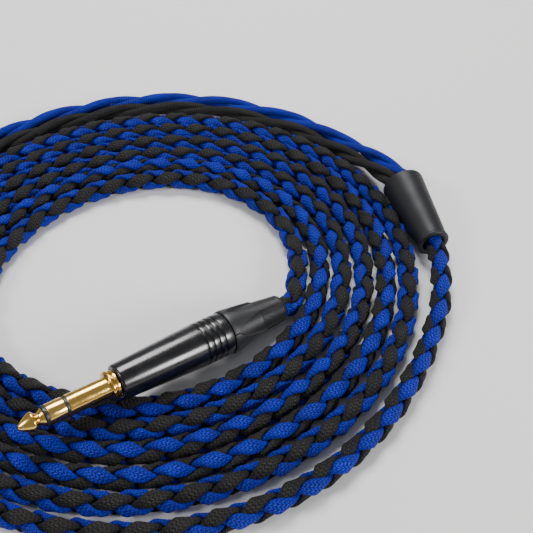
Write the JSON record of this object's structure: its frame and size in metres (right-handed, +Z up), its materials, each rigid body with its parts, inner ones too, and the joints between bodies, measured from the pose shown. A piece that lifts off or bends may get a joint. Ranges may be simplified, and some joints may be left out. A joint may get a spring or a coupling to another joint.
{
  "type": "headphone cable coil",
  "caption": "Coiled four-strand braided headphone cable with a stereo jack plug, a tapered Y-splitter, and two twisted legs ending in small latching female connectors.",
  "frame": {"origin": "bottom centre of the box around the whole cable, on the surface it lies on", "axes": "+Z up; +Y points from the plug's side of the coil to the far side; +X points to the splitter"},
  "size_m": [0.2169, 0.2012, 0.019],
  "materials": {
    "gold_plating": "polished gold plating over brass",
    "contact_gold": "gold-plated contact",
    "brass": "plain turned brass",
    "wire_insulation": "thin wire insulation",
    "black_insulator": "black moulded insulator",
    "barrel_gloss_black": "high-gloss black lacquer on metal",
    "boot_black": "satin black moulded plastic with fine ribs",
    "splitter_black": "matte dark grey-black, fine grain",
    "chuck_plastic": "off-white moulded plastic",
    "connector_shell_black": "satin black plated metal",
    "connector_nut_black": "satin black moulded plastic",
    "latch_steel": "brushed spring steel",
    "braid_sleeve": "two royal blue and two black knitted sleeves in a round braid",
    "blue_sleeve": "royal blue knitted sleeve",
    "black_sleeve": "black knitted sleeve"
  },
  "bodies": {
    "cable": {"braid_coil": "braid_sleeve", "braid_lead": "braid_sleeve", "braid_tail": "braid_sleeve", "left_chuck": "chuck_plastic", "left_contact_1": "contact_gold", "left_contact_2": "contact_gold", "left_contact_3": "contact_gold", "left_contact_4": "contact_gold", "left_insert": "black_insulator", "left_leg": "blue_sleeve", "left_nut": "connector_nut_black", "left_shell": "connector_shell_black", "left_wire_1": "wire_insulation", "left_wire_2": "wire_insulation", "plug_barrel": "barrel_gloss_black", "plug_boot": "boot_black", "plug_chuck": "chuck_plastic", "plug_front_insulator": "black_insulator", "plug_rear_insulator": "black_insulator", "plug_ring_contact": "gold_plating", "plug_ring_lug": "brass", "plug_sleeve": "gold_plating", "plug_sleeve_lug": "brass", "plug_tip": "gold_plating", "plug_tip_lug": "brass", "plug_wire_1": "wire_insulation", "plug_wire_2": "wire_insulation", "plug_wire_3": "wire_insulation", "plug_wire_4": "wire_insulation", "right_chuck": "chuck_plastic", "right_contact_1": "contact_gold", "right_contact_2": "contact_gold", "right_contact_3": "contact_gold", "right_contact_4": "contact_gold", "right_insert": "black_insulator", "right_leg": "black_sleeve", "right_nut": "connector_nut_black", "right_shell": "connector_shell_black", "right_wire_1": "wire_insulation", "right_wire_2": "wire_insulation", "splitter_crimp": "brass", "splitter_shell": "splitter_black"},
    "left_latch_button": {"left_latch": "latch_steel"},
    "right_latch_button": {"right_latch": "latch_steel"}
  },
  "joints": [
    {"name": "left_latch_press", "type": "slide", "parent": "cable", "child": "left_latch_button", "axis": [0, 0, -1], "range_m": [0, 0.0007], "stiffness_N_per_m": 1500, "springref_m": -0.0005},
    {"name": "right_latch_press", "type": "slide", "parent": "cable", "child": "right_latch_button", "axis": [0, 0, -1], "range_m": [0, 0.0007], "stiffness_N_per_m": 1500, "springref_m": -0.0005}
  ]
}
